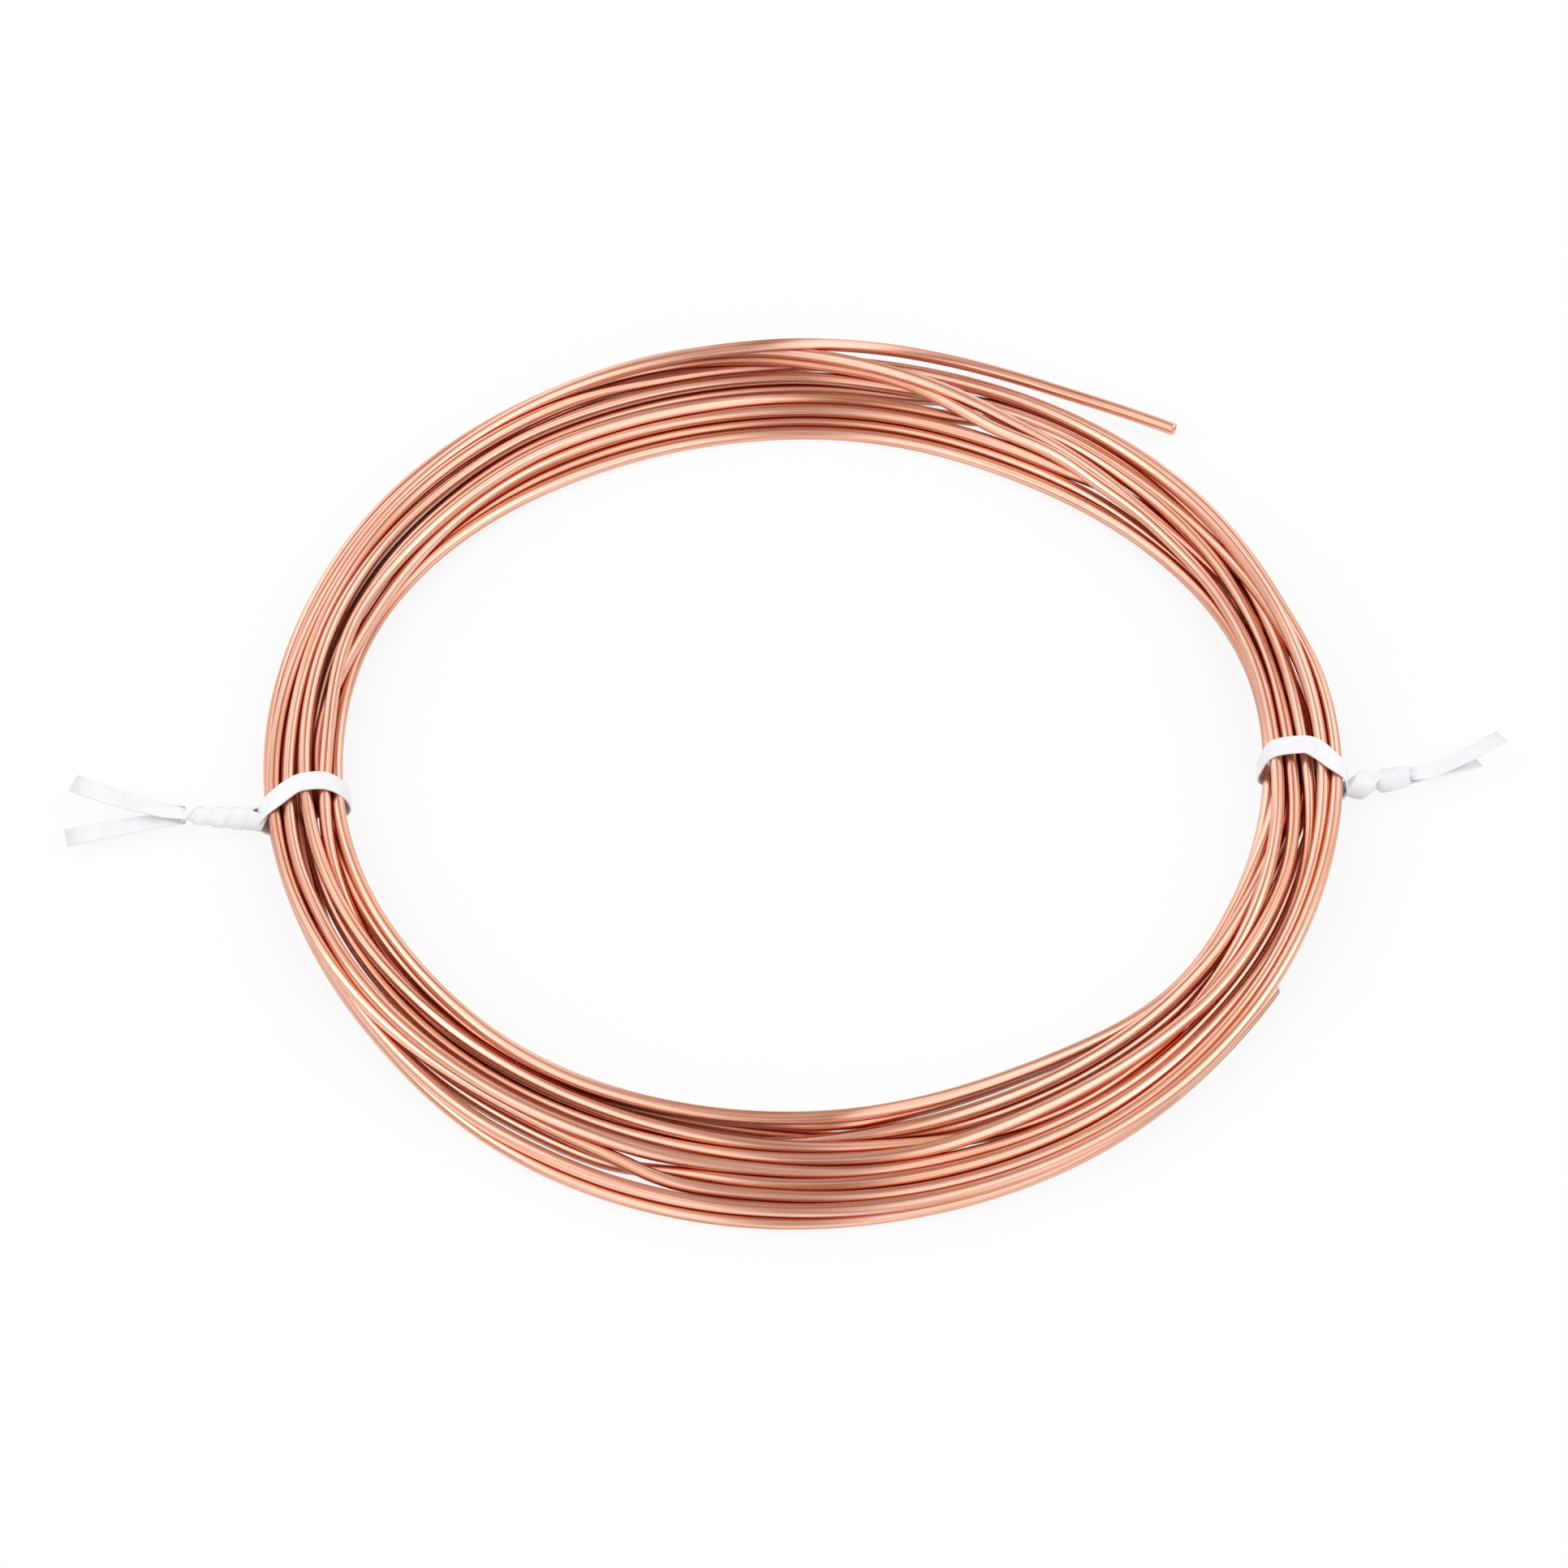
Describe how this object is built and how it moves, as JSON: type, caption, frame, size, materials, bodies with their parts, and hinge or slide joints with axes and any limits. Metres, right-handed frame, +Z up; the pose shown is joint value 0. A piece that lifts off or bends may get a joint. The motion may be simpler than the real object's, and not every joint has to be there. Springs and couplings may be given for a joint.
{
  "type": "copper tube coil",
  "caption": "Thin copper tube wound into a loose flat ring, with one free open end, held by two twist ties.",
  "frame": {"origin": "centre of the ring's open eye, at the height of the floor that the ring lies on", "axes": "+Z up out of the flat ring, +X along the line from the left tie to the right tie, +Y to the side of the free end"},
  "size_m": [0.2136, 0.1645, 0.0059],
  "materials": {
    "copper": "bright drawn copper with fine lengthwise die lines",
    "tie_plastic": "white plastic strip over a thin wire, satin"
  },
  "bodies": {
    "root": {"copper_tube": "copper", "twist_tie_left": "tie_plastic", "twist_tie_right": "tie_plastic"}
  },
  "joints": []
}
